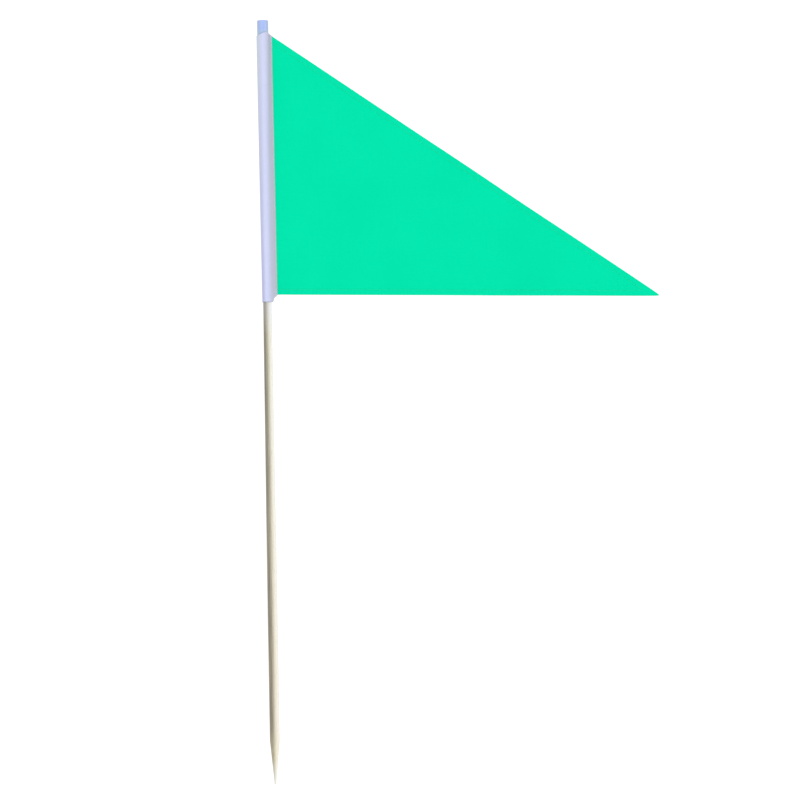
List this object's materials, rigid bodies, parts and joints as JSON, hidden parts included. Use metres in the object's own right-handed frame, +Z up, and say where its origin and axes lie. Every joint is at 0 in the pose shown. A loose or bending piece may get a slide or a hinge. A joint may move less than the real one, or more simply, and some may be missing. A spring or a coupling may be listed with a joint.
{
  "type": "triangular stick flag",
  "caption": "Right-triangular cloth pennant sewn into a pole sleeve on a pointed round wooden stick with a plastic end cap.",
  "frame": {"origin": "on the stick's axis, at the shoulder where its sharpened point begins", "axes": "+Z up the stick to the cap, +X from the stick towards the flag's tip, the flag's front face looks to -Y"},
  "size_m": [0.3143, 0.0102, 0.602],
  "materials": {
    "stick_wood": "sanded, unvarnished",
    "cap_plastic": "satin moulded",
    "sleeve_cloth": "plain woven tape",
    "pennant_cloth": "plain woven flag cloth",
    "white_thread": "twisted sewing thread",
    "green_thread": "twisted sewing thread"
  },
  "bodies": {
    "staff": {"staff": "stick_wood"},
    "cap": {"top_cap": "cap_plastic"},
    "flag": {"pole_sleeve": "sleeve_cloth", "pennant_cloth": "pennant_cloth", "hoist_needle_thread": "white_thread", "hoist_bobbin_thread": "white_thread", "lower_hem_needle_thread": "green_thread", "lower_hem_bobbin_thread": "green_thread", "upper_hem_needle_thread": "green_thread", "upper_hem_bobbin_thread": "green_thread", "upper_bartack": "white_thread", "lower_bartack": "white_thread"}
  },
  "joints": [
    {"name": "cap_pull", "type": "slide", "parent": "staff", "child": "cap", "axis": [0, 0, 1], "range_m": [0, 0.03]},
    {"name": "flag_swivel", "type": "hinge", "parent": "staff", "child": "flag", "pos_m": [0, 0, 0.45], "axis": [0, 0, 1], "continuous": true}
  ]
}
